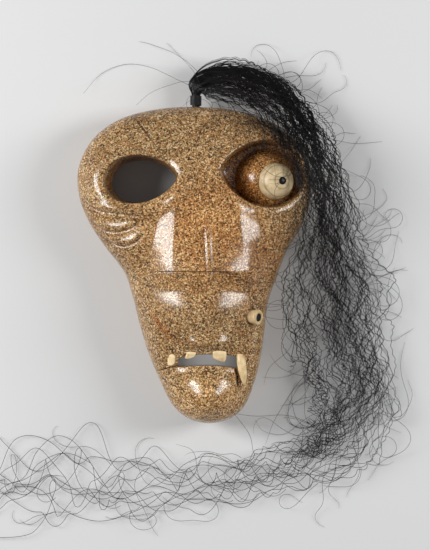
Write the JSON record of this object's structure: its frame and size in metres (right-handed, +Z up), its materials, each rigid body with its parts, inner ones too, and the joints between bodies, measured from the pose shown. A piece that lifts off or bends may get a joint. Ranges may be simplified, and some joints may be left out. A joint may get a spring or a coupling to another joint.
{
  "type": "human and spirit mask",
  "caption": "Carved stone face mask with an open eye, an ivory eye in a deep socket, ivory teeth and cheek peg, and a long black horsehair tuft",
  "frame": {"origin": "the bottom centre of the whole object's box, level with the rim on which the mask lies", "axes": "+Z up, out of the face; +Y towards the forehead; +X towards the ivory eye and the tuft"},
  "size_m": [0.3592, 0.3666, 0.0761],
  "materials": {
    "polished_stone": "gloss",
    "ivory": "satin",
    "baleen": "gloss",
    "black_cord": "matte",
    "black_horsehair": "satin"
  },
  "bodies": {
    "root": {"mask": "polished_stone", "ivory_eye": "ivory", "tooth_left": "ivory", "tooth_middle": "ivory", "tooth_right": "ivory", "fang": "ivory", "cheek_peg": "ivory", "pupil": "baleen", "cheek_peg_disc": "baleen", "binding": "black_cord", "hair_tuft": "black_horsehair"}
  },
  "joints": []
}
